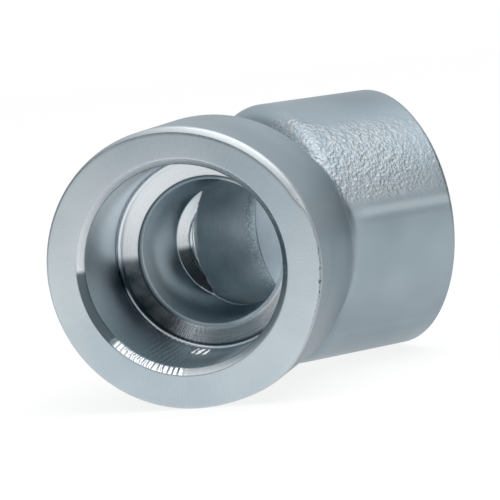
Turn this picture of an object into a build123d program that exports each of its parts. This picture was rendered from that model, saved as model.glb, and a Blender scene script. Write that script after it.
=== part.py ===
from build123d import *
from math import cos, radians, sin, tan
import os

# A forged steel forty-five degree elbow with two sockets for welded pipe of 26.9 mm outside diameter.
# It is one forging: two round collars meet at a mitre over a slimmer core. Each collar is bored to
# a socket with a flat stop, and the waterway is drilled in from both ends to meet inside.
#
# Millimetres. The origin is the centre of the first socket's stop, where the pipe's end lands.
# The first mouth faces -Y, the second leaves between +X and +Y, and the bend lies in the XY plane.

# Outside of the forging, the same at both ends
bend_angle = 45.0
centre_to_end = 26.0
collar_diameter = 38.0
collar_length = 18.0
shoulder_height = 2.8
shoulder_radius = 3.0
mouth_bevel = 0.5

# Sockets, the same at both ends
socket_bore = 27.2
socket_depth = 15.3
entry_diameter = 28.9
entry_depth = 1.2

# Waterway, the same from both sockets: a bore that narrows to a pointed drill at the crossing
waterway_bore = 20.2
waterway_edge_break = 0.5
bore_short_of_centre = 2.0
drill_diameter = 17.0
drill_past_centre = 1.5
drill_point_angle = 110.0

# Where the two axes cross, seen from the first socket's stop
centre_to_stop = centre_to_end - socket_depth
centre = Location((0, centre_to_stop, 0))
core_radius = collar_diameter / 2 - shoulder_height


def arm_plane(turn):
    """Plane at the crossing of the axes, with its Z along an arm; turn is measured from -Y towards +X."""
    way_out = Vector(sin(radians(turn)), -cos(radians(turn)), 0)
    return Plane(origin=centre.position, x_dir=Vector(0, 0, 1), z_dir=way_out)


def arm_outside():
    """One arm without its hollow: the collar with its rounded shoulder and bevelled mouth, and the core."""
    collar_radius = collar_diameter / 2
    shoulder_top = centre_to_end - collar_length
    shoulder = CenterArc((collar_radius - shoulder_radius, shoulder_top), shoulder_radius, -90, 90)
    outline = Polyline(
        shoulder @ 1,
        (collar_radius, centre_to_end - mouth_bevel),
        (collar_radius - mouth_bevel, centre_to_end),
        (0, centre_to_end),
        (0, shoulder_top - shoulder_radius),
        shoulder @ 0,
    )
    collar_section = make_face(shoulder + outline)
    core_section = Rectangle(core_radius, centre_to_end - mouth_bevel, align=(Align.MIN, Align.MIN))
    return revolve(Plane.XZ * (collar_section + core_section), Axis.Z)


def socket_hollow():
    """The hollow that a pipe enters, bored to the stop, with a chamfered entry."""
    bore_radius = socket_bore / 2
    outline = Polyline(
        (0, centre_to_stop),
        (bore_radius, centre_to_stop),
        (bore_radius, centre_to_end - entry_depth),
        (entry_diameter / 2, centre_to_end),
        (0, centre_to_end),
        close=True,
    )
    return revolve(Plane.XZ * make_face(outline), Axis.Z)


def waterway_hollow():
    """The bore from the stop, its lead down to the drill's size, and the drill's point past the crossing."""
    bore_radius = waterway_bore / 2
    drill_radius = drill_diameter / 2
    point_length = drill_radius / tan(radians(drill_point_angle / 2))
    outline = Polyline(
        (0, centre_to_stop),
        (bore_radius + waterway_edge_break, centre_to_stop),
        (bore_radius, centre_to_stop - waterway_edge_break),
        (bore_radius, bore_short_of_centre),
        (drill_radius, -drill_past_centre),
        (0, -drill_past_centre - point_length),
        close=True,
    )
    return revolve(Plane.XZ * make_face(outline), Axis.Z)


first_arm = arm_plane(0)
second_arm = arm_plane(180 - bend_angle)

# The forging before machining, with its knuckle rounded off on the outside of the bend
knuckle = centre * Sphere(core_radius)
forging = first_arm * arm_outside() + second_arm * arm_outside() + knuckle

hollows = [
    first_arm * socket_hollow(),
    second_arm * socket_hollow(),
    first_arm * waterway_hollow(),
    second_arm * waterway_hollow(),
]
elbow_body = forging - hollows

os.makedirs("parts", exist_ok=True)
export_step(elbow_body, "parts/elbow_body.step")
print("elbow_body", elbow_body.is_valid, len(elbow_body.solids()), round(elbow_body.volume, 1), "mm3")
print("box", elbow_body.bounding_box())
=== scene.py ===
# %% [markdown]
# # A forged steel elbow for welded pipe
#
# The real thing is one piece of steel. A bent billet is forged with two round collars, and then both
# ends are machined: faced, bored to a socket with a flat stop, and drilled through.
#
# The construction model is loaded first. Its box is kept, because the dressed model has to stay inside
# it, and its one solid is replaced by the finely dressed mesh that this lesson builds.

# %% Load the construction model
from math import cos, pi, radians, sin, tan

import bpy
import numpy as np
from mathutils import Matrix, Vector, noise


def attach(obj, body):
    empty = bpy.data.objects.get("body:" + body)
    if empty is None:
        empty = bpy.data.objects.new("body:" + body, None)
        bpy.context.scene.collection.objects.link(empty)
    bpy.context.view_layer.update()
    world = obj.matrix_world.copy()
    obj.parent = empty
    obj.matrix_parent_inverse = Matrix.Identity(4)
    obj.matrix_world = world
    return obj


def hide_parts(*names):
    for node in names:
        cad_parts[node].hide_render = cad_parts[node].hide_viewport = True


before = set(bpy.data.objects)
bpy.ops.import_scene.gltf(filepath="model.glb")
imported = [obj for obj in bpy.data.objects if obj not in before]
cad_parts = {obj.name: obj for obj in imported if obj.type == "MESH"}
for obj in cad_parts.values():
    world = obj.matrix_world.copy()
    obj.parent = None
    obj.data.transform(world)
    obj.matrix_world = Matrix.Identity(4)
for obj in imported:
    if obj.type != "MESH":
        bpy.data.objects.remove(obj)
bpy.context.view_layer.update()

# %% [markdown]
# ## Sizes
#
# A fitter thinks of an elbow from the point where its two axes cross, so each arm is described from
# there: how far a point lies along the arm, how far it reaches from the axis, and how far round it is
# turned. Turn 0 is the inside of the bend and a quarter turn is straight up. All sizes are in mm. The
# sizes of what is machined come later, with the cuts.

# %% Sizes of the forging
collar_radius = 18.97
collar_end = 8.0
core_radius = 16.2
shoulder_radius = 3.0
mouth = 26.0
stop = 10.7
half_bend = radians(22.5)

# %% [markdown]
# ## One ring of columns
#
# The elbow is a tube with thick walls, so its whole skin is one closed ring: out through the first
# bore, over its mouth, back along the outside, over the second mouth and in again. A boolean would
# give the same shape with long, thin faces at every cut. A ring of evenly turned columns gives clean
# quads all over instead, and every edge of the real part becomes a row of its own.

# %% Columns and the two arms
columns = 340
turn = np.arange(columns) * 2 * pi / columns
angle = np.degrees(turn)
slope = tan(half_bend)

arm_out = [np.array([0.0, -1.0, 0.0]), np.array([sin(pi / 4), cos(pi / 4), 0.0])]
arm_inside = [np.array([1.0, 0.0, 0.0]), np.array([sin(pi / 4), -cos(pi / 4), 0.0])]
up = np.array([0.0, 0.0, 1.0])
crossing = np.array([0.0, stop, 0.0])


def in_place(arm, reach, turned, along):
    """Points in mm in the frame of the part, from their place on one arm."""
    reach, turned, along = np.broadcast_arrays(reach, turned, along)
    across = np.cos(turned)[..., None] * arm_inside[arm] + np.sin(turned)[..., None] * up
    return crossing + along[..., None] * arm_out[arm] + reach[..., None] * across


def on_arm(arm, points):
    """The other way round: reach, turn and length along one arm, from points in mm."""
    local = points - crossing
    along = local @ arm_out[arm]
    inside = local @ arm_inside[arm]
    height = local @ up
    return np.hypot(inside, height), np.arctan2(height, inside), along


print("columns", columns, "spacing on the collar", round(2 * pi * collar_radius / columns, 3), "mm")

# %% [markdown]
# ## Soft steps and soft hills
#
# Forging, grinding and wear all begin and end softly. Four small functions say that for every shape and
# every finish below: a hill, the same hill on the round, a step, and a stretch between two steps. Where
# they lie on the round is given in degrees from the inside of the bend.


# %% Steps and hills
def near(value, middle, width):
    """1 at the middle, falling off softly on both sides of it."""
    return np.exp(-(((value - middle) / width) ** 2))


def hill(degrees, middle, width):
    """The same for an angle in degrees, so that 359 lies beside 0."""
    return near((degrees - middle + 180) % 360 - 180, 0, width)


def fade(value, low, high):
    """0 below low, 1 above high and a soft step between."""
    share = np.clip((value - low) / (high - low), 0, 1)
    return share * share * (3 - 2 * share)


def between(value, starts, full, wanes, ends):
    """1 from full to wanes, and 0 before it starts and after it ends."""
    return fade(value, starts, full) * (1 - fade(value, wanes, ends))


print("a step from 0 to 1, at a quarter:", fade(0.25, 0, 1))

# %% [markdown]
# ## The forged outside
#
# Each arm alone is a turned shape: a collar, a rounded shoulder, a slimmer core and a round knuckle.
# The first collar of this one came out not quite round. Where the two arms meet, a forging has a soft
# valley and no sharp corner. A fillet tool often fails on such a valley, because it fades out on both
# sides. Here both arms are read as one field, how deep a point lies inside each, and a smooth union of
# the two fields melts them together in the valley only.

# %% The radius of one arm and the smooth union of both
valley_softness = 1.0
low_swelling = 0.68
valley_swelling = 0.50
drawn_in_above = 0.30
drawn_in_opposite = 0.22
flat_on_top = 0.15


def out_of_round(arm, degrees, along):
    """How far the forging strays from its true radius."""
    lean = -flat_on_top * np.clip(np.sin(np.radians(degrees)), 0, 1)
    if arm == 1:
        return lean
    to_mouth = np.clip((along - collar_end) / (mouth - collar_end), 0, 1)
    swollen = low_swelling * hill(degrees, -50, 19)
    swollen = swollen + valley_swelling * hill(degrees, -5, 26) * (1 - to_mouth) ** 2
    drawn_in = drawn_in_above * hill(degrees, 60, 38) + drawn_in_opposite * hill(degrees, 178, 42)
    return lean + swollen - drawn_in * to_mouth


def arm_radius(arm, turned, along):
    """The outside radius of one arm at a place along it."""
    into_shoulder = np.clip(collar_end - along, 0, shoulder_radius)
    shoulder = collar_radius - shoulder_radius + np.sqrt(shoulder_radius**2 - into_shoulder**2)
    shoulder = np.where(along < collar_end - shoulder_radius, 0, shoulder)
    return np.maximum(shoulder + out_of_round(arm, np.degrees(turned), along), core_radius)


def outside(points):
    """Positive outside the forging, negative inside, near zero on its skin, in mm."""
    depth = []
    for arm in (0, 1):
        reach, turned, along = on_arm(arm, points)
        knuckle = np.hypot(reach, along) - core_radius
        depth.append(np.where(along > 0, reach - arm_radius(arm, turned, along), knuckle))
    share = np.clip(0.5 + 0.5 * (depth[1] - depth[0]) / valley_softness, 0, 1)
    union = depth[1] * (1 - share) + depth[0] * share
    return union - valley_softness * share * (1 - share)


surely_inside, surely_outside = 4.0, 26.0
halvings = 26


def find_skin(place, furthest=surely_outside):
    """The reach at which each ray leaves the forging, by halving from inside and outside."""
    low = np.full(np.shape(place(0.0))[:-1], surely_inside)
    high = np.broadcast_to(furthest, low.shape).copy()
    for step in range(halvings):
        middle = (low + high) / 2
        is_out = outside(place(middle)) > 0
        high = np.where(is_out, middle, high)
        low = np.where(is_out, low, middle)
    return (low + high) / 2


def mitre_at(reach):
    """The length along the arm at which a column of this reach meets the mitre plane."""
    return slope * np.cos(turn) * reach


valley_reach = find_skin(lambda reach: in_place(0, reach, turn, mitre_at(reach)))
valley_along = mitre_at(valley_reach)
print("valley reach", valley_reach.min().round(2), "to", valley_reach.max().round(2), "mm")

# %% [markdown]
# ## Rows on the outside
#
# From the mouth to the shoulder the rows lie square to the arm. From there each column runs its own
# way down the shoulder into the valley, so it is followed finely first and then shared out again by
# its length.

# %% Rows from the mouth to the valley
above_shoulder = 0.3
fine_steps = 240


def share_out(reach, along, rows):
    """The same curve for each column, with its rows evenly spaced by length."""
    step = np.hypot(np.diff(reach, axis=0), np.diff(along, axis=0))
    length = np.vstack([np.zeros(reach.shape[1]), np.cumsum(step, axis=0)])
    wanted = np.linspace(0, 1, rows)[:, None] * length[-1]
    new_reach = np.empty((rows, reach.shape[1]))
    new_along = np.empty_like(new_reach)
    for k in range(reach.shape[1]):
        new_reach[:, k] = np.interp(wanted[:, k], length[:, k], reach[:, k])
        new_along[:, k] = np.interp(wanted[:, k], length[:, k], along[:, k])
    return new_reach, new_along


def on_own_side(along):
    """The reach at which a ray at this length would cross the mitre into the other arm."""
    return np.clip(along / (slope * np.clip(np.cos(turn), 1e-3, None)), surely_inside, surely_outside)


def outside_rows(arm, start, collar_rows, valley_rows):
    """Reach and length of the rows from the start of the collar to the valley."""
    last = collar_end + above_shoulder
    along = start + (last - start) * np.linspace(0, 1, collar_rows)[:, None]
    reach = find_skin(lambda r: in_place(arm, r, turn, along))
    fine_along = last + (valley_along - last) * np.linspace(0, 1, fine_steps)[:, None]
    furthest = np.where(np.cos(turn) > 0, on_own_side(fine_along), surely_outside)
    fine_reach = find_skin(lambda r: in_place(arm, r, turn, fine_along), furthest)
    fine_reach[-1] = valley_reach
    down_reach, down_along = share_out(fine_reach, fine_along, valley_rows)
    return np.vstack([reach, down_reach[1:]]), np.vstack([along, down_along[1:]])


print("each column is followed in", fine_steps, "steps from", collar_end + above_shoulder, "mm")

# %% [markdown]
# ## The mouth
#
# The face was ground after forging, so its outer edge follows the forging and not a true circle. The
# bevel is wide at the upper right and almost gone elsewhere, and on the inside of the bend the rim is
# torn and pitted. Both come from one width for each column. Small corners are rounded with three rows,
# so that they catch the light, and the flat rows beside them keep clear of their ends.

# %% Sizes of the cuts, and a helper for lumps
socket_radius = 13.6
entry_radius = 14.5
entry_depth = 1.0
stop_corner = 0.55
stop_dish = 0.35
waterway_radius = 10.1
edge_break = 0.5
small_corner = 0.08
clear_of_corner = 0.15
clear_of_fillet = 0.10


def smooth_noise(points, size, seed):
    """One value from -1 to 1 for each point, in lumps of about the given size in mm."""
    shift = Vector((seed * 17.3, seed * 5.1, seed * 9.7))
    values = [noise.noise(Vector(p) / size + shift) for p in points.reshape(-1, 3)]
    return np.array(values).reshape(points.shape[:-1])


print("socket", 2 * socket_radius, "mm wide and", round(mouth - stop, 1), "mm deep")

# %% The bevel round each face
torn_rim = hill(angle, -4, 30)
least_bevel, most_ground, most_nicked = 0.24, 0.56, 0.4
far_bevel = (0.55, 0.50)


def bevel_size(arm):
    """Width of the bevel on the face and down the collar for each column, in mm."""
    if arm == 1:
        return far_bevel[0] + 0 * turn, far_bevel[1] + 0 * turn
    rim = in_place(arm, collar_radius, turn, mouth)
    nicks = np.clip(smooth_noise(rim, 1.3, 3) + 0.8 * smooth_noise(rim, 0.6, 4) - 0.2, 0, 1)
    ground_away = between(angle, 16, 27, 72, 140)
    wide = least_bevel + most_ground * ground_away + torn_rim * (most_nicked * nicks - 0.06)
    return wide, np.clip(wide * 0.7, 0.12, 0.6)


near_bevel = bevel_size(0)[0]
print("near bevel", near_bevel.min().round(2), "to", near_bevel.max().round(2), "mm wide")


# %% A rounded corner of a profile
def rounded(corner, before, after, radius, rows=3):
    """Rows round one corner of a profile, with points as (reach, along)."""
    corner, before, after = (np.array(p, float) for p in (corner, before, after))
    back = (before - corner) / np.linalg.norm(before - corner)
    on = (after - corner) / np.linalg.norm(after - corner)
    opening = np.arccos(np.clip(back @ on, -1, 1))
    middle = corner + (back + on) / np.linalg.norm(back + on) * radius / sin(opening / 2)
    first = corner + back * radius / tan(opening / 2) - middle
    last = corner + on * radius / tan(opening / 2) - middle
    swing = pi - opening
    found = []
    for share in np.linspace(0, 1, rows):
        found.append(middle + (first * sin((1 - share) * swing) + last * sin(share * swing)) / sin(swing))
    return found


square = rounded((1, 0), (0, 0), (1, 1), 0.5)
print("a corner of radius 0.5 has its middle row at", square[1].round(2))

# %% [markdown]
# The cuts are one profile from the bore's edge to the mouth, the same for every column: the broken edge
# of the bore, the stop, which the tool dished a little, its corner, the wall of the socket and the
# entry, which is very slightly crowned. The face and the bevel follow. Their outer edge is found on
# the forging for each column, so they are made apart from the cuts.

# %% Rows of the stop, the socket and the entry
crown_height = 0.02


def cut_profile(arm, chamfer_rows, socket_rows, stop_rows):
    """Points (reach, along) from the bore's edge break out to the edge of the mouth."""
    dish = stop_dish if arm == 0 else 0.0
    lip = (waterway_radius, stop - edge_break)
    stop_edge = (waterway_radius + edge_break, stop - dish)
    entry_start = (socket_radius, mouth - entry_depth)
    entry_end = (entry_radius, mouth)

    points = rounded(lip, (waterway_radius, 0), stop_edge, small_corner)
    points += rounded(stop_edge, lip, (socket_radius, stop), small_corner)
    flat_end = socket_radius - stop_corner - clear_of_fillet
    flat = np.linspace(stop_edge[0] + clear_of_corner, flat_end, stop_rows)
    sunk = dish * (np.linspace(0, 1, stop_rows) - 1)
    points += [np.array([r, stop + s]) for r, s in zip(flat, sunk)]
    points += rounded((socket_radius, stop), (0, stop), (socket_radius, mouth), stop_corner, 5)
    wall_start = stop + stop_corner + clear_of_corner
    wall = np.linspace(wall_start, mouth - entry_depth - clear_of_corner, socket_rows)
    points += [np.array([socket_radius, a]) for a in wall]
    points += rounded(entry_start, (socket_radius, 0), entry_end, small_corner)
    for share in np.linspace(0.12, 0.88, chamfer_rows):
        crown = 4 * crown_height * share * (1 - share)
        reach = socket_radius + (entry_radius - socket_radius) * share
        points.append(np.array([reach - crown * 0.8, mouth - entry_depth * (1 - share) + crown * 0.6]))
    points += rounded(entry_end, entry_start, (collar_radius, mouth), small_corner)
    return points


print("the cut profile of a bare socket has", len(cut_profile(0, 1, 2, 2)), "points")

# %% Rows of the face and the bevel
bevel_shares = np.array([0, 0.07, 0.35, 0.7, 1.0])[:, None]


def face_and_bevel(arm, face_rows):
    """Reach and length of the rows over the face and the bevel, and where the collar starts."""
    wide, deep = bevel_size(arm)
    rim = find_skin(lambda r: in_place(arm, r, turn, mouth - deep))
    face_start = entry_radius + clear_of_fillet
    face_edge = rim - wide
    share = np.linspace(0.02, 1, face_rows)[:, None]
    face_reach = face_start + (face_edge - 0.05 - face_start) * share
    bevel_reach = face_edge + (rim - face_edge) * bevel_shares
    bevel_along = mouth - deep * (0.01 + 0.99 * bevel_shares**1.15)
    along = np.vstack([mouth + 0 * face_reach, bevel_along])
    return np.vstack([face_reach, bevel_reach]), along, mouth - deep


def machined_rows(arm, face_rows, **cut_rows):
    """All rows from the bore's edge break outwards to the collar."""
    cut = np.array(cut_profile(arm, **cut_rows))
    reach, along, start = face_and_bevel(arm, face_rows)
    reach = np.vstack([cut[:, :1] + 0 * turn, reach])
    return reach, np.vstack([cut[:, 1:] + 0 * turn, along]), start


print("the first collar starts", face_and_bevel(0, 2)[2].min().round(2), "mm from the crossing")

# %% [markdown]
# ## Where the two bores meet
#
# Both ends were bored in the same way: straight at first, then narrowing to the size of the drill, and
# at the bottom the cone that the point of the drill leaves. Both are alike where they meet, so they meet
# on the mitre, the plane that halves the bend. Only the second narrows from further up. On the outside
# of the bend a crescent of the cone is left standing, and its thin edge has broken away and left a
# ragged rim.
#
# A boolean would cut this line through the middle of its faces. Here it is a row of the ring, found
# once by halving, and both bores end on it.

# %% The profile of a bore
lead_start = 6.4
lead_power = 2.0
far_lead_start = 9.4
drill_radius = 8.5
drill_end = -1.5
drill_half_angle = radians(71)
torn_radius = 6.6
torn_depth = 1.2

bore_profile = [np.array([waterway_radius, stop - edge_break])]
for share in np.linspace(0, 0.97, 24):
    narrowed = (waterway_radius - drill_radius) * share**lead_power
    bore_profile.append(np.array([waterway_radius - narrowed, lead_start + (drill_end - lead_start) * share]))
drill_corner = (drill_radius, drill_end)
torn_corner = (torn_radius, drill_end - (drill_radius - torn_radius) / tan(drill_half_angle))
torn_end = (torn_radius - 0.12, torn_corner[1] - torn_depth)
bore_profile += rounded(drill_corner, bore_profile[-1], torn_corner, 0.12)
bore_profile += rounded(torn_corner, drill_corner, torn_end, small_corner)
bore_profile.append(np.array(torn_end))
bore_profile = np.array(bore_profile)
travelled = np.concatenate([[0], np.cumsum(np.hypot(*np.diff(bore_profile, axis=0).T))])


def follow_bore(travel):
    """Reach and length after travelling this far down a bore from its mouth."""
    reach = np.interp(travel, travelled, bore_profile[:, 0])
    return reach, np.interp(travel, travelled, bore_profile[:, 1])


print("the profile of a bore is", travelled[-1].round(2), "mm long")

# %% The line on which both bores meet, and its torn edge
low = np.zeros(columns)
high = np.full(columns, travelled[-1])
for step in range(40):
    middle = (low + high) / 2
    reach, along = follow_bore(middle)
    is_past = along < mitre_at(reach)
    high = np.where(is_past, middle, high)
    low = np.where(is_past, low, middle)
met = (low + high) / 2
crisp_edge = np.interp(-drill_end, -bore_profile[:, 1], travelled)
crescent_width = np.clip(met - crisp_edge, 0, None)

reach, along = follow_bore(met)
seam = in_place(0, reach, turn, along)
ragged = 0.16 * smooth_noise(seam, 0.8, 7) + 0.12 * smooth_noise(seam, 0.33, 8)
met = met + ragged * np.clip(crescent_width / 0.6, 0.12, 1)
seam_reach = follow_bore(met)[0]
print("crescent up to", crescent_width.max().round(2), "mm wide")

# %% Rows down both bores to that line
shortest_ledge = 0.3
burr_height = 0.16
by_the_seam = [0, 0.06, 0.16]


def bore_rows(arm, wall_rows, ledge_rows):
    """Reach and length from the meeting line out to the bore's edge break."""
    ledge = np.maximum(met - crisp_edge, shortest_ledge)
    share = np.concatenate([by_the_seam, np.linspace(0.3, 0.94, ledge_rows - 4), [1]])
    on_ledge = met - ledge * share[:, None]
    share = np.concatenate([[0.992], np.linspace(0.975, 0, wall_rows - 2)[:-1]])
    on_wall = (met - ledge) * share[:, None]
    travel = np.vstack([on_ledge, on_wall])
    reach, along = follow_bore(travel)
    reach[0], along[0] = seam_reach, mitre_at(seam_reach)
    to_seam = np.clip(1 - (met - travel[:ledge_rows]) / shortest_ledge, 0, 1)
    reach[:ledge_rows] -= burr_height * hill(angle, 252, 30) * to_seam**2
    if arm == 1:
        narrow, deep = reach[ledge_rows - 1], along[ledge_rows - 1]
        share = np.linspace(0, 1, wall_rows)[1:-1, None]
        along[ledge_rows:] = deep + (stop - edge_break - deep) * share
        opened = np.clip((along[ledge_rows:] - deep) / (far_lead_start - deep), 0, 1)
        reach[ledge_rows:] = narrow + (waterway_radius - narrow) * opened
    return reach, along


# %% [markdown]
# ## The whole ring
#
# Now the rows are laid one after another, from the meeting line out through the first mouth, over the
# valley and back in through the second mouth. The last row joins the first, so the mesh is closed. Each
# row remembers the cut that made it, because that decides its finish later.

# %% Lay the rows
BORED, TURNED, GROUND, BEVELLED, FORGED = range(5)
first_sizes = dict(face_rows=9, chamfer_rows=4, socket_rows=20, stop_rows=9)
second_sizes = dict(face_rows=5, chamfer_rows=2, socket_rows=9, stop_rows=5)


def arm_rings(arm, sizes, bore, ledge, collar, valley):
    """All rings of one arm from the meeting line to the valley, and the finish of each."""
    reach, along = bore_rows(arm, bore, ledge)
    points = [in_place(arm, reach, turn, along)]
    finish = [TURNED] * (ledge - 1) + [BORED] * (len(reach) - ledge + 1)
    reach, along, start = machined_rows(arm, **sizes)
    points.append(in_place(arm, reach, turn, along))
    finish += [BORED] * 3 + [TURNED] * (3 + sizes["stop_rows"] + 5)
    finish += [BORED] * (sizes["socket_rows"] + 3) + [TURNED] * sizes["chamfer_rows"]
    finish += [GROUND] * (sizes["face_rows"] + 3) + [(BEVELLED, FORGED)[arm]] * 5
    reach, along = outside_rows(arm, start, collar, valley)
    points.append(in_place(arm, reach[1:], turn, along[1:]))
    finish += [FORGED] * (len(reach) - 1)
    return np.vstack(points), finish


first, first_finish = arm_rings(0, first_sizes, bore=20, ledge=10, collar=34, valley=34)
second, second_finish = arm_rings(1, second_sizes, bore=12, ledge=5, collar=48, valley=34)
ring_points = np.vstack([first, second[-2:0:-1]])
ring_finish = np.array(first_finish[:-1] + second_finish[-2::-1])
ring_arm = np.array([0] * len(first) + [1] * (len(second) - 2))
rows = len(ring_points)


def made_by(finish):
    """True on the rows of one finish, as a column that goes with any map of the ring."""
    return (ring_finish == finish)[:, None]


is_forged = made_by(FORGED)
is_first = (ring_arm == 0)[:, None]
is_second = (ring_arm == 1)[:, None]
print("rings", rows, "quads", rows * columns)

# %% [markdown]
# ## The blasted patch and the parting line
#
# On the second collar the smooth skin ends at a flat band beside the parting line of the dies. Above
# the band the skin is coarse, in a patch that reaches round the collar like a tongue. The lumps are real
# ones, a tenth of a millimetre high, because a bump map alone stays smooth along the outline.

# %% Raise the coarse skin and cut the parting line
lump_height = 0.10
crease_height, crease_width, crease_depth = 2.25, 0.30, 0.07
lowest, highest = 11.5, 54.0

_, turned, along = on_arm(1, ring_points)
degrees = np.degrees(turned)
uneven = smooth_noise(ring_points, 2.0, 31)
tongue_top = highest + 20 * near(along, 4, 4.5) + 4 * uneven
tongue_start = 7.2 - 5.2 * fade(degrees, 20, 56) + 0.5 * uneven
blasted = between(degrees, lowest, lowest + 5, tongue_top - 5, tongue_top + 1) * (is_second & is_forged)
blasted *= fade(along, tongue_start, tongue_start + 0.9) * (1 - 0.65 * fade(along, 16.0, 26.0))

lumps = 0.45 * smooth_noise(ring_points, 0.9, 11) + 0.60 * smooth_noise(ring_points, 0.5, 12)
lift = blasted * (lumps * lump_height - 0.04)
crease = near(ring_points[:, :, 2], crease_height, crease_width) * fade(np.cos(turned), 0, 0.3)
lift -= crease_depth * crease * between(along, 9.0, 11.5, 24.5, 25.6) * (is_second & is_forged)
across = np.cos(turn)[:, None] * arm_inside[1] + np.sin(turn)[:, None] * up
ring_points = ring_points + lift[:, :, None] * across[None, :, :]
print("coarse skin on", int((blasted > 0.5).sum()), "vertices")

# %% [markdown]
# ## One closed mesh
#
# Each quad takes two columns of one row and the same two of the next. Its corners run so that every
# face looks out of the steel, and the volume shows it: it comes out positive.

# %% Make the mesh
row_of, column_of = np.divmod(np.arange(rows * columns), columns)
next_row = (row_of + 1) % rows
next_column = (column_of + 1) % columns
corners = [(row_of, column_of), (next_row, column_of), (next_row, next_column), (row_of, next_column)]
quads = np.stack([row * columns + column for row, column in corners], axis=1)
vertices = ring_points.reshape(-1, 3) * 0.001

mesh = bpy.data.meshes.new("forged_elbow")
mesh.from_pydata(vertices.tolist(), [], quads.tolist())
mesh.validate()
mesh.polygons.foreach_set("use_smooth", np.ones(len(quads), bool))
elbow = bpy.data.objects.new("forged_elbow", mesh)
bpy.context.scene.collection.objects.link(elbow)
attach(elbow, "root")
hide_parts("elbow_body")

volume = 0.0
a, b, c, d = (vertices[quads[:, k]] for k in range(4))
for p, q, r in ((a, b, c), (a, c, d)):
    volume += np.einsum("ij,ij->i", p, np.cross(q, r)).sum() / 6
print("volume", round(volume * 1e9, 1), "mm3")

# %% [markdown]
# ## A map that runs with the tool
#
# Every cut on this part was made by a turning tool, so its marks run round the axis. The mesh is a grid
# already, so its map is the grid itself: across it runs once round the axis, up it runs along the
# profile. Brushed metal shines across its marks.

# %% Lay the map
least_row = 0.12
row_length = np.linalg.norm(ring_points - np.roll(ring_points, -1, axis=0), axis=2).mean(axis=1)
row_height = np.concatenate([[0], np.cumsum(np.maximum(row_length, least_row))])
row_height /= row_height[-1]
map_row = np.stack([row_of, row_of + 1, row_of + 1, row_of], axis=1)
map_column = np.stack([column_of, column_of, column_of + 1, column_of + 1], axis=1)
flat_map = np.stack([map_column / columns, row_height[map_row]], axis=2)
loop_vertex = np.empty(len(mesh.loops), int)
mesh.loops.foreach_get("vertex_index", loop_vertex)
layer = mesh.uv_layers.new(name="OFBake")
layer.uv.foreach_set("vector", flat_map.reshape(-1).astype(np.float32))
print("map follows the faces", bool((loop_vertex == quads.ravel()).all()))

# %% [markdown]
# ## What each vertex knows of its place
#
# A film of coolant, painted shade and light, a shudder of the tool or a torn rim lies at one place
# of the part. It could be painted by hand on a picture, but a picture has a fixed grain and has to be
# kept beside the script. Here each vertex gets plain numbers, worked out from its place, and the
# materials read them by name.

# %% Reach and length of every vertex
place_reach = np.empty((rows, columns))
place_along = np.empty((rows, columns))
for arm in (0, 1):
    chosen = ring_arm == arm
    place_reach[chosen], _, place_along[chosen] = on_arm(arm, ring_points[chosen])
place_height = ring_points[:, :, 2]


def paint(name, values):
    """One number for each vertex, which a material can read by its name."""
    painted = mesh.attributes.new(name, "FLOAT", "POINT")
    values = np.broadcast_to(values, (rows, columns)).ravel()
    painted.data.foreach_set("value", values.astype(np.float32))
    print("painted", name, "up to", values.max().round(2))


paint("reach", place_reach)
paint("along", place_along)
paint("round_cos", np.cos(turn))
paint("round_sin", np.sin(turn))
paint("blasted", blasted)

# %% Regions of the hollow
hollow = is_first & ~is_forged
past_break = place_reach > waterway_radius + 0.3
in_corner = place_reach > socket_radius - 0.35
on_wall = place_reach > socket_radius - 0.25
on_straight_wall = place_reach > socket_radius - 0.05
on_stop = hollow & (place_along < stop + 0.1) & past_break
on_chamfer = (place_reach < entry_radius + 0.05) & (place_along > mouth - entry_depth - 0.02)
in_socket = hollow & (place_reach < socket_radius + 0.01) & (place_along < mouth - entry_depth)
in_near_bore = hollow & (place_reach < waterway_radius + 0.05)
in_far_bore = is_second & ~is_forged & (place_reach < waterway_radius + 0.1)
on_cone = place_reach < drill_radius - 0.1
on_break = (place_reach < waterway_radius + edge_break + 0.1) & (place_along > stop - edge_break + 0.02)
edge_of_stop = (np.abs(place_reach - socket_radius + stop_corner) < 0.15) & (place_along < stop + 0.12)
print("vertices on the stop", int(on_stop.sum()), "and in the far bore", int(in_far_bore.sum()))

# %% [markdown]
# ## The dark film and painted shade
#
# A nearly black film lies in the lower left of the socket: over the stop, in its corner and on the wall
# beside it. In the corner it is partly a film of coolant and partly painted shade, and over the stop it
# is painted shade, the black side of the fan of its rings. A thin line of painted shade follows the outer
# edge of the stop along its lower half, the lower half of the crescent is black with painted shade, and
# the left of the entry is dulled with it, the rest of the entry a little. The edge break is darker over
# its upper half, and the upper stop and the far bore above and below get a little painted shade. All of
# that is one number, how dark the film and the painted shade are, so that one colour serves it everywhere.

# %% How dark the film and the painted shade are
clouds = smooth_noise(ring_points, 2.2, 21) + 0.5 * smooth_noise(ring_points, 0.8, 22)
bright_corner = in_corner & (place_along > stop) & (place_along < stop + 0.5)
# In the corner of the stop: partly a coolant film, partly painted shade, kept off the bright fillet line.
corner_film_and_shade = between(angle, 174, 186, 222, 250) * past_break * near(place_along, stop, 1.9)
corner_film_and_shade = corner_film_and_shade * (0.93 + 0.55 * clouds) * (1 - 0.85 * bright_corner * fade(angle, 196, 204))
corner_film_and_shade *= 1 - 0.62 * (on_wall & (place_along > stop + 0.6))
# Painted shade over the lower left of the stop, the black side of the fan of its rings.
painted_stop_shade = between(angle, 177, 184, 230, 252) * (0.85 + 0.12 * clouds + 0.14 * hill(angle, 206, 14))
# Painted shade in a thin line along the outer edge of the stop.
painted_edge_shade = 0.9 * between(angle, 184, 192, 325, 340)
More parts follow.
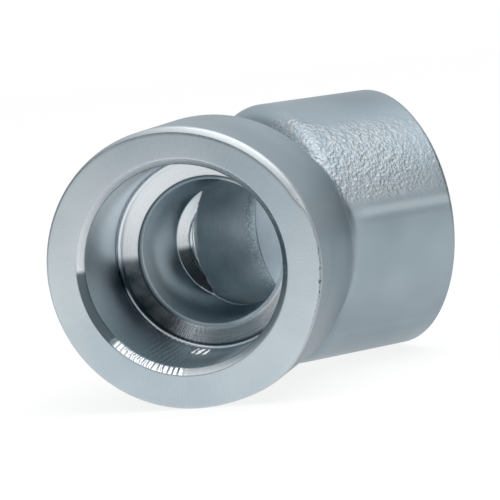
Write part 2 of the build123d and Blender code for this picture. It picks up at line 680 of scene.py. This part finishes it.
# Painted shade on the entry: the dull arc on its left, and a little all round.
painted_dull_arc = between(angle, 177, 180, 219, 226)
painted_entry_shade = 0.71 * painted_dull_arc + 0.12 + 0.16 * hill(angle, 130, 28)
# Painted shade on the lower half of the crescent.
painted_crescent_shade = 0.92 * between(angle, 180, 188, 238, 250)
# The edge break is darker over its upper half.
darker_on_break = between(angle, 40, 70, 200, 235)
# Painted shade in the far bore, above and below.
painted_far_bore_shade = 0.30 * hill(angle, 148, 18) + 0.30 * hill(angle, 256, 22)

film_and_shade = np.where(on_stop, painted_stop_shade, corner_film_and_shade)
# A little painted shade on the upper stop as well.
film_and_shade = film_and_shade + on_break * darker_on_break + 0.14 * on_stop * hill(angle, 85, 50)
film_and_shade += edge_of_stop * painted_edge_shade + on_chamfer * painted_entry_shade + on_cone * painted_crescent_shade
paint("film_and_painted_shade", np.clip(film_and_shade * hollow + in_far_bore * painted_far_bore_shade, 0, 1))

# %% [markdown]
# ## Where the tool shuddered
#
# At the bottom of the socket the tool shuddered and left its marks: many fine ones on the entry, and a
# few broad teeth that hang from the corner of the stop. They are far finer than the columns, so the
# vertices only say where they are and how far each tooth has run out. The shader draws them.

# %% Fine chatter and broad teeth
chatter = 0.35 * hill(angle, 248, 12) * past_break + 0.4 * hill(angle, 236, 12) * on_straight_wall
chatter = np.maximum(chatter, between(angle, 222, 228, 261, 267) * on_chamfer)
paint("chatter", chatter * hollow)

tooth_end = stop + 3.0 + 1.7 * fade(angle, 244, 258)
left_of_tooth = np.clip(tooth_end - np.maximum(place_along, stop + 0.5), 0, None)
toothed = between(angle, 253.9, 254.4, 264.5, 266) * hollow * (place_reach > socket_radius - 0.7)
paint("teeth", left_of_tooth * toothed)

# %% [markdown]
# ## Light and dark walls
#
# Light bounces between the walls of a real bore more often than a renderer follows. So the deep bores
# are darkened with painted shade, the inside of the bend, two arcs of the socket wall and the near bore
# beside the stop are brightened with painted light, and where the wall looks milky it is made less
# metallic, so that it acts like paint.

# %% Painted shade deep in the bores, painted light on the walls, and milky walls
on_inside = fade(np.cos(turn), 0.1, 0.4)
# Painted shade: the near bore before the crescent and the far bore behind its step are darkened.
before_crescent = 0.42 * (1 - fade(place_along, -1.5, 5.0)) * fade(-np.cos(turn), 0.3, 0.8)
behind_step = (1 - fade(place_along + 0.4 * clouds, 9.0, 9.8)) * (1 - 0.35 * hill(angle, 207, 20))
paint("deep", in_far_bore * behind_step + in_near_bore * before_crescent)

# Painted light: the inside of the bend, two arcs of the wall and the bore beside the stop are brighter.
painted_sheen = np.maximum(hill(angle, 137, 28), 0.75 * hill(angle, 213, 26)) * on_wall
by_the_stop = 0.95 * in_near_bore * fade(place_along, 2.5, 7.0) * (1 - on_inside)
paint("painted_light", in_socket * np.maximum(np.maximum(on_inside, painted_sheen), by_the_stop))

milky_wall = hill(angle, 122, 30) * fade(place_along, 14.0, 22.0) * on_wall
milky_bore = 0.78 * in_near_bore * fade(place_along, 3.5, 8.0) * hill(angle, 172, 55)
paint("milky", (milky_wall + milky_bore) * in_socket)

# %% [markdown]
# ## Pits, and painted light and shade
#
# The rim on the inside of the bend is torn, and the far bore has specks in front of its step. The ground
# face is paler on the left than at the upper right, as painted light and shade. Outside, a pale band runs
# beside the parting line. The valley, the underside of the swelling, a line below the band, the upper
# left of the bevel, the lower right of the stop and the dull arc of the entry are darkened with painted
# shade.

# %% Pits, and the painted light and shade of faces and skin
beside_step = in_far_bore * near(place_along, far_lead_start, 1.0)
paint("pitted", beside_step + made_by(BEVELLED) * torn_rim)

# Painted light and shade on the ground face: paler on the left, darker at the upper right.
painted_face_light_and_shade = hill(angle, 180, 35) - hill(angle, 42, 30) - 0.8 * hill(angle, 245, 45)
paint("painted_face_light_and_shade", (0.5 + 0.5 * painted_face_light_and_shade) * made_by(GROUND))

beside_patch = is_forged & is_second & (np.cos(turn) > 0)
light_band = between(place_height, 2.3, 3.1, 3.3, 4.3) * fade(place_along, 8.5, 11.5)
paint("light_band", 0.85 * light_band * beside_patch)

# Painted shade, all in one number: below the band, under the swelling, bevel, stop, entry and valley.
below_band = 0.10 * near(place_height, 2.0, 0.35) * beside_patch * fade(place_along, 9.0, 11.5)
under_swelling = 0.70 * hill(angle, -48, 26) * (is_first & is_forged)
dark_bevel = 0.65 * hill(angle, 135, 35) * made_by(BEVELLED)
dark_stop = 0.75 * on_stop * between(angle, 256, 270, 290, 310)
dark_entry = 0.75 * on_chamfer * painted_dull_arc
in_valley = near(place_along - mitre_at(place_reach), 0, 1.3) * (is_forged & (np.cos(turn) > 0))
in_valley = 0.7 * in_valley * fade(-np.sin(turn), 0.35, 0.8)
shade = below_band + under_swelling + dark_bevel + dark_stop + dark_entry + in_valley
paint("shade", np.clip(shade, 0, 0.8))

# %% [markdown]
# ## Shader maths as plain arithmetic
#
# A material is a small computation for each point of the surface. Wiring it node by node hides what is
# computed, so a socket is wrapped in a small class, and an expression such as 1 - mask adds its nodes.


# %% A socket that can be calculated with
class Value:
    """The output of a node, with the operators that the materials below use."""

    def __init__(self, bench, socket):
        self.bench = bench
        self.socket = socket

    def math(self, operation, *others):
        inputs = {i: value for i, value in enumerate((self, *others))}
        return self.bench.add("ShaderNodeMath", {"operation": operation}, inputs)

    def __add__(self, other):
        return self.math("ADD", other)

    def __radd__(self, other):
        return self.math("ADD", other)

    def __sub__(self, other):
        return self.math("SUBTRACT", other)

    def __rsub__(self, other):
        return self.bench.add("ShaderNodeMath", {"operation": "SUBTRACT"}, {0: other, 1: self})

    def __mul__(self, other):
        return self.math("MULTIPLY", other)

    def __rmul__(self, other):
        return self.math("MULTIPLY", other)

    def clamp(self):
        return self.math("MAXIMUM", 0.0).math("MINIMUM", 1.0)


class Bench:
    """A node tree and one way to add any node to it."""

    def __init__(self, tree):
        self.tree = tree

    def add(self, kind, settings=None, inputs=None, output=0):
        node = self.tree.nodes.new(kind)
        for name, value in (settings or {}).items():
            setattr(node, name, value)
        for name, value in (inputs or {}).items():
            self.plug(node.inputs[name], value)
        return Value(self, node.outputs[output])

    def plug(self, socket, value):
        if isinstance(value, Value):
            self.tree.links.new(value.socket, socket)
        else:
            socket.default_value = value

    def painted(self, name):
        return self.add("ShaderNodeAttribute", {"attribute_name": name}, output="Fac")

    def vector(self, x, y, z):
        return self.add("ShaderNodeCombineXYZ", inputs={0: x, 1: y, 2: z})

    def noise(self, vector, scale, detail=2.0, roughness=0.5):
        inputs = {"Vector": vector, "Scale": scale, "Detail": detail, "Roughness": roughness}
        return self.add("ShaderNodeTexNoise", inputs=inputs)

    def mix(self, share, first, second):
        inputs = {"Factor": share, 6: first, 7: second}
        return self.add("ShaderNodeMix", {"data_type": "RGBA"}, inputs, output=2)

    def stretch(self, value, low, high, new_low=0.0, new_high=1.0):
        inputs = {"Value": value, "From Min": low, "From Max": high, "To Min": new_low, "To Max": new_high}
        return self.add("ShaderNodeMapRange", inputs=inputs)

    def bump(self, height, mm):
        inputs = {"Height": height, "Distance": mm * 0.001, "Strength": 1.0}
        return self.add("ShaderNodeBump", inputs=inputs)


# %% [markdown]
# ## What all the steels share
#
# All of them are bare metal. A cut one shines across its marks, so its highlight is drawn out into a
# fan, and the marks themselves are a noise that is stretched out round the axis. Both kinds of chatter
# are a wave round the axis that a slow noise bends a little, because no shudder is quite even.


# %% Bare steel, and the marks on it
def steel(name, shine_across=0.0):
    """A bare steel, its bench and its shader. It shines across rings, or below 0 across spokes."""
    material = bpy.data.materials.new(name)
    material.use_nodes = True
    shader = material.node_tree.nodes["Principled BSDF"]
    shader.inputs["Metallic"].default_value = 1.0
    shader.inputs["Anisotropic"].default_value = abs(shine_across)
    shader.inputs["Anisotropic Rotation"].default_value = 0.25 if shine_across > 0 else 0.0
    mesh.materials.append(material)
    print("material", name)
    return Bench(material.node_tree), shader


def place_in_mm(bench):
    """The point of the part in mm, the same in every view because it is the part's own frame."""
    own = bench.add("ShaderNodeTexCoord", output="Object")
    return bench.add("ShaderNodeVectorMath", {"operation": "SCALE"}, {0: own, "Scale": 1000.0})


def under_film_and_shade(bench, colour):
    """The colour under the dark film and the painted shade: coolant in the corner, painted shade elsewhere.
    """
    film_and_shade_colour = (0.026, 0.044, 0.055, 1)
    return bench.mix(bench.painted("film_and_painted_shade"), colour, film_and_shade_colour)


def tool_marks(bench, per_mm, round_it):
    """Fine marks that run round the axis, with so many per mm across them and so many round it."""
    path = bench.painted("reach") * per_mm + bench.painted("along") * per_mm
    vector = bench.vector(bench.painted("round_cos") * round_it, bench.painted("round_sin") * round_it, path)
    return bench.noise(vector, 1.0, 3.0, 0.7)


def shudder(bench, waves, lump):
    """A wave round the axis, from -1 to 1, bent by a noise with so many lumps per mm."""
    turned = bench.painted("round_sin").math("ARCTAN2", bench.painted("round_cos"))
    uneven = bench.noise(place_in_mm(bench), lump, 1.0)
    return (turned * waves + uneven * 5.0).math("SINE")


def chatter_marks(bench):
    """The fine marks of the shudder, many to a turn, only where they are painted."""
    return shudder(bench, 122.0, 0.9) * bench.painted("chatter")


def torn_teeth(bench):
    """The broad teeth: 0 between them, and on each the mm that it still has to run."""
    return bench.stretch(shudder(bench, 94.0, 0.7), -0.6, -0.2) * bench.painted("teeth")


# %% [markdown]
# ## Bored steel
#
# The socket and the waterway were bored. Boring leaves a satin wall with fine rings, a little stained by
# coolant and darkened with painted shade, and darker than the faces that were cut last. Deep in the bores
# there is more painted shade, and the brighter walls get painted light. The teeth are ramps that face the
# sky, and each is steep enough to mirror it as a white stroke; their pale colour is a painted highlight.

# %% The bored walls
mark_depth = 0.004
wall_chatter_depth = 0.028
tooth_slope = 1.748
dark_wall = (0.30, 0.38, 0.43, 1)
light_wall = (0.46, 0.55, 0.60, 1)
shaded_deep_wall = (0.145, 0.19, 0.215, 1)
lit_wall_and_fleck = (0.76, 0.85, 0.90, 1)
tooth_highlight_colour = (0.82, 0.85, 0.87, 1)
dark_speck = (0.05, 0.06, 0.07, 1)

bench, shader = steel("bored_steel", 0.85)
marks = tool_marks(bench, 9.0, 3.0)
cloud = bench.noise(place_in_mm(bench), 0.16, 3.0)
wear = bench.stretch(marks * 0.45 + cloud * 0.55, 0.35, 0.65)
colour = bench.mix(wear, dark_wall, light_wall)
# Painted shade deep in the bores, then painted light on the brighter walls.
colour = bench.mix(bench.painted("deep") * (0.84 - wear * 0.36), colour, shaded_deep_wall)
colour = bench.mix(bench.painted("painted_light"), colour, lit_wall_and_fleck)
specks = bench.noise(place_in_mm(bench), 3.4, 2.0, 0.6)
speckled = bench.painted("pitted")
colour = bench.mix(bench.stretch(specks, 0.60, 0.66) * speckled * 0.75, colour, dark_speck)
colour = bench.mix(bench.stretch(specks, 0.42, 0.36) * speckled * 0.55, colour, lit_wall_and_fleck)
teeth = torn_teeth(bench)
# Painted highlight: the teeth are made pale, on top of their real reflection of the sky.
on_tooth = (teeth * 4.0).clamp()
height = marks + chatter_marks(bench) * (wall_chatter_depth / mark_depth) + teeth * (tooth_slope / mark_depth)
bench.plug(shader.inputs["Base Color"], bench.mix(on_tooth, under_film_and_shade(bench, colour), tooth_highlight_colour))
bench.plug(shader.inputs["Roughness"], bench.stretch(marks, 0.3, 0.7, 0.32, 0.44) - on_tooth * 0.24)
bench.plug(shader.inputs["Metallic"], 1 - bench.painted("milky") * 0.9)
bench.plug(shader.inputs["Normal"], bench.bump(height, mark_depth))

# %% [markdown]
# ## Turned steel
#
# The stops, the entries and the crescent were cut with a fine feed. Their rings throw the light out in a
# fan, bright on one side and black on the other, as on the back of a pan. On the stop, the entry and the
# crescent much of the black side is painted shade, and where shade is painted the rings turn a duller
# blue. Low on the entry the chatter breaks the fan into a row of white teeth.

# %% The turned stops, entries and crescent
ring_depth = 0.003
entry_chatter_depth = 0.048
dark_ring = (0.74, 0.79, 0.83, 1)
light_ring = (0.88, 0.91, 0.93, 1)
shaded_ring = (0.36, 0.47, 0.53, 1)

bench, shader = steel("turned_steel", 0.92)
marks = tool_marks(bench, 14.0, 0.8)
colour = bench.mix(bench.stretch(marks, 0.35, 0.65), dark_ring, light_ring)
# Painted shade: the lower right of the stop and the dull arc of the entry turn a darker blue.
colour = bench.mix(bench.painted("shade"), colour, shaded_ring)
height = marks + chatter_marks(bench) * (entry_chatter_depth / ring_depth)
bench.plug(shader.inputs["Base Color"], under_film_and_shade(bench, colour))
bench.plug(shader.inputs["Roughness"], bench.stretch(marks, 0.3, 0.7, 0.18, 0.30))
bench.plug(shader.inputs["Normal"], bench.bump(height, ring_depth))

# %% [markdown]
# ## Ground steel
#
# The mouths were ground last, so they are the palest steel. The wheel went out from the bore to the rim,
# so its marks are spokes and not rings, and the face shines along the ring. The bevels were only broken
# by hand: a dull, pale grain without a direction, and black where the rim is torn.

# %% The ground faces
dark_face = (0.44, 0.53, 0.59, 1)
light_face = (0.73, 0.80, 0.83, 1)

bench, shader = steel("ground_steel", -0.5)
marks = tool_marks(bench, 0.5, 75.0)
cloud = bench.noise(place_in_mm(bench), 0.12, 2.0)
wear = bench.stretch(marks * 0.5 + cloud * 0.5, 0.38, 0.62)
# Wear, and painted light and shade: the face is paler on the left than at the upper right.
wear_and_painted_shade = (wear * 0.35 + bench.painted("painted_face_light_and_shade") * 0.65).clamp()
bench.plug(shader.inputs["Base Color"], under_film_and_shade(bench, bench.mix(wear_and_painted_shade, dark_face, light_face)))
bench.plug(shader.inputs["Roughness"], bench.stretch(marks, 0.3, 0.7, 0.27, 0.38))
bench.plug(shader.inputs["Normal"], bench.bump(marks, mark_depth))

# %% The bevels round the mouths
grey_bevel = (0.55, 0.60, 0.63, 1)
pale_bevel = (0.63, 0.68, 0.71, 1)
shaded_bevel = (0.22, 0.27, 0.30, 1)
torn_colour = (0.09, 0.11, 0.13, 1)

bench, shader = steel("bevelled_steel")
grain = bench.noise(place_in_mm(bench), 2.5, 2.0)
colour = bench.mix(bench.painted("shade"), bench.mix(grain, grey_bevel, pale_bevel), shaded_bevel)
hollows = bench.noise(place_in_mm(bench), 2.6, 2.0, 0.6)
pits = bench.stretch(hollows + bench.painted("pitted") * 0.25, 0.80, 0.84)
torn = (bench.painted("pitted") * 0.45 + pits * 0.5).clamp()
bench.plug(shader.inputs["Base Color"], bench.mix(torn, colour, torn_colour))
bench.plug(shader.inputs["Roughness"], bench.stretch(grain, 0.3, 0.7, 0.42, 0.54))

# %% [markdown]
# ## Forged skin
#
# The outside was forged and then blasted. Most of it is smooth satin, and one patch on the second
# collar kept its coarse skin, with small pits and bright grains. The lumps of the mesh carry the coarse
# form, and a bump of 0.03 mm adds the grain between them.

# %% The forged outside
grain_depth = 0.03
dark_skin = (0.29, 0.355, 0.40, 1)
light_skin = (0.36, 0.43, 0.475, 1)
blasted_and_shaded_skin = (0.28, 0.31, 0.33, 1)
band_and_lit_skin = (0.50, 0.57, 0.61, 1)
shaded_skin = (0.15, 0.19, 0.22, 1)
bright_grain = (0.42, 0.445, 0.46, 1)

bench, shader = steel("forged_skin")
place = place_in_mm(bench)
patch = bench.painted("blasted")
how_high = bench.painted("round_sin")
fine = bench.noise(place, 5.0, 2.0)
coarse = bench.noise(place, 2.2, 1.5, 0.5)
cloud = bench.noise(place, 0.08, 2.0)
skin = bench.mix(bench.stretch(cloud * 0.7 + fine * 0.3, 0.38, 0.62), dark_skin, light_skin)
past_tongue = bench.stretch(bench.painted("along"), 8.0, 14.0)
# The coarse patch is a darker skin, and darker still towards the top, as painted shade.
skin = bench.mix(patch * past_tongue * how_high * 0.5, skin, blasted_and_shaded_skin)
# Painted light: the low part of the patch is made paler, in the colour of the pale band.
low_patch_painted_lighter = bench.stretch(how_high, 0.6, 0.2) * patch
skin = bench.mix((bench.painted("light_band") + low_patch_painted_lighter * 0.7).clamp(), skin, band_and_lit_skin)
skin = bench.mix(bench.painted("shade"), skin, shaded_skin)
grain = bench.stretch(coarse * 0.8 + fine * 0.2, 0.48, 0.60) * patch
height = fine * (0.15 + 0.2 * patch) + coarse * patch * 5.0
bench.plug(shader.inputs["Base Color"], bench.mix(grain, skin, bright_grain))
bench.plug(shader.inputs["Roughness"], bench.stretch(fine, 0.3, 0.7, 0.38, 0.46) + patch * 0.04)
bench.plug(shader.inputs["Normal"], bench.bump(height, grain_depth))

# %% Each row of the ring gets its finish
face_finish = ring_finish[row_of]
mesh.polygons.foreach_set("material_index", face_finish.astype(np.int32))
mesh.update()
print("faces by finish", np.bincount(face_finish).tolist())

# %% [markdown]
# ## Table, studio and camera
#
# The elbow lies on a white table in a bright studio. The table is a plain sheet of white paper. Seen
# straight or in a mirror it glows a little, so that it is as white as the wall behind it, and it still
# keeps the soft shadow of the elbow.

# %% The table
table_edge = 1.2
table_height = -0.01903
table_mesh = bpy.data.meshes.new("table")
table_corners = [(x * table_edge, y * table_edge, 0) for x, y in ((-1, -1), (1, -1), (1, 1), (-1, 1))]
table_mesh.from_pydata(table_corners, [], [(0, 1, 2, 3)])
table = bpy.data.objects.new("table", table_mesh)
table.location.z = table_height
bpy.context.scene.collection.objects.link(table)

glow_share = 0.8
glow_strength = 1.06
white_table = bpy.data.materials.new("white_table")
white_table.use_nodes = True
bench = Bench(white_table.node_tree)
shader = white_table.node_tree.nodes["Principled BSDF"]
shader.inputs["Base Color"].default_value = (0.85, 0.85, 0.85, 1)
shader.inputs["Roughness"].default_value = 0.9
shader.inputs["Specular IOR Level"].default_value = 0.0
seen = bench.add("ShaderNodeLightPath", output="Is Camera Ray")
mirrored = bench.add("ShaderNodeLightPath", output="Is Glossy Ray")
passed = bench.add("ShaderNodeLightPath", output="Is Transmission Ray")
glow = bench.add("ShaderNodeEmission", inputs={"Color": (1, 1, 1, 1), "Strength": glow_strength})
share = (seen + mirrored + passed).clamp() * glow_share
surface = bench.add("ShaderNodeMixShader", inputs={0: share, 1: Value(bench, shader.outputs[0]), 2: glow})
bench.plug(white_table.node_tree.nodes["Material Output"].inputs["Surface"], surface)
table_mesh.materials.append(white_table)
print("table at", table_height * 1000, "mm")

# %% [markdown]
# The walls of the studio are only seen in the steel. The room behind the camera and on its right is
# dark, and that is what gives the turned rings their black fans. The wall on the left is grey, and all
# the rest is white. Each wall is a direction with a soft edge, so no wall has to be built.

# %% The studio around it
world = bpy.data.worlds.new("studio")
bpy.context.scene.world = world
world.use_nodes = True
bench = Bench(world.node_tree)
direction = bench.add("ShaderNodeTexCoord", output="Generated")


def lies_towards(target, none, full):
    """0 away from a target and 1 near it, by the cosine of the angle between."""
    inputs = {0: direction, 1: tuple(Vector(target).normalized())}
    cosine = bench.add("ShaderNodeVectorMath", {"operation": "DOT_PRODUCT"}, inputs, output="Value")
    return bench.stretch(cosine, none, full)


white_wall = (1, 1, 1, 1)
grey_wall = (0.42, 0.47, 0.50, 1)
dark_wall_of_room = (0.03, 0.04, 0.05, 1)
seen = bench.add("ShaderNodeLightPath", output="Is Camera Ray")
height = lies_towards((0, 0, 1), -1.0, 1.0) * 2.0 - 1.0
in_front = lies_towards((-0.1, -1, 0), 0.45, 0.75) * (1 - bench.stretch(height, 0.35, 0.62))
on_the_right = lies_towards((1, 0.45, 0.35), 0.90, 0.95)
on_the_left = lies_towards((-1, -0.1, 0.15), 0.72, 0.95)
behind = lies_towards((-0.2, 1, 0.2), 0.60, 0.90) * 0.45
wall = bench.mix(on_the_left.math("MAXIMUM", behind) * (1 - seen), white_wall, grey_wall)
wall = bench.mix(in_front.math("MAXIMUM", on_the_right) * (1 - seen), wall, dark_wall_of_room)
background = world.node_tree.nodes["Background"]
bench.plug(background.inputs["Color"], wall)
background.inputs["Strength"].default_value = 1.0
print("studio made")

# %% [markdown]
# One soft box hangs over the elbow. It is large for its distance, so that its shadow fades out within
# the length of the part.

# %% The lamp
box_place = Vector((0.20, -0.05, 0.55))
box_aim = Vector((0.006, 0.012, 0))
lamp = bpy.data.lights.new("overhead_box", "AREA")
lamp.shape = "SQUARE"
lamp.size = 0.50
lamp.energy = 1.4
holder = bpy.data.objects.new("overhead_box", lamp)
holder.location = box_place
holder.rotation_euler = (box_aim - box_place).to_track_quat("-Z", "Y").to_euler()
bpy.context.scene.collection.objects.link(holder)
print("lamp", round((box_place - box_aim).length, 2), "m away")

# %% [markdown]
# The camera was found from the edges of the near mouth and the outline of the far collar. It looks down
# a little and comes from the right of the first arm, through a long lens.

# %% The camera
picture_width = 500
focal_length = 2340
camera_place = (0.08824, -0.30930, 0.03521)
right = Vector((0.9633, 0.2449, -0.1102))
down = Vector((-0.0790, -0.1341, -0.9878))
forward = Vector((-0.2567, 0.9602, -0.1098))

camera_data = bpy.data.cameras.new("camera")
camera_data.sensor_width = 36
camera_data.lens = camera_data.sensor_width * focal_length / picture_width
camera = bpy.data.objects.new("camera", camera_data)
lines = [[right[i], -down[i], -forward[i], camera_place[i]] for i in range(3)]
camera.matrix_world = Matrix(lines + [[0, 0, 0, 1]])
bpy.context.scene.collection.objects.link(camera)
bpy.context.scene.camera = camera
bpy.context.scene.view_settings.view_transform = "Standard"
print("lens", round(camera_data.lens, 1), "mm")
